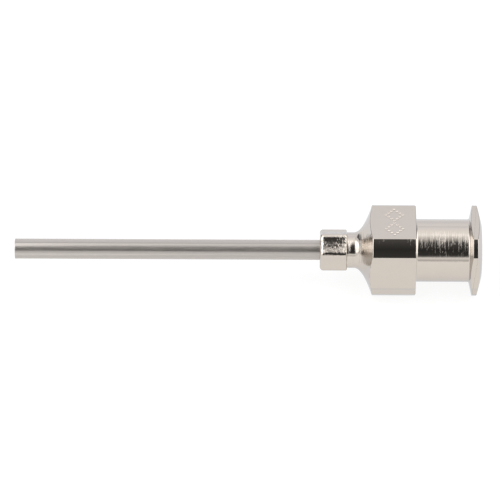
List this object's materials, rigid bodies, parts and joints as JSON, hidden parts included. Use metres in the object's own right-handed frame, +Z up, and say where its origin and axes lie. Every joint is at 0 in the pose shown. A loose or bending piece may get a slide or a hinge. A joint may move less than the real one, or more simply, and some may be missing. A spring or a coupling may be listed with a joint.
{
  "type": "dispensing needle tip",
  "caption": "Blunt stainless dispensing tube crimped in a plated luer-lock hub with a square block, a flared front and a four-cornered lock flange.",
  "frame": {"origin": "under the middle of the whole length, on the surface that the hub's flats lie on", "axes": "+X along the tube's axis towards the mouth of the luer socket, +Z up, away from the surface that the part lies on"},
  "size_m": [0.0404, 0.0066, 0.0066],
  "materials": {
    "nickel_plate": "polished",
    "stainless_tube": "satin"
  },
  "bodies": {
    "root": {"hub": "nickel_plate", "needle_tube": "stainless_tube"}
  },
  "joints": []
}
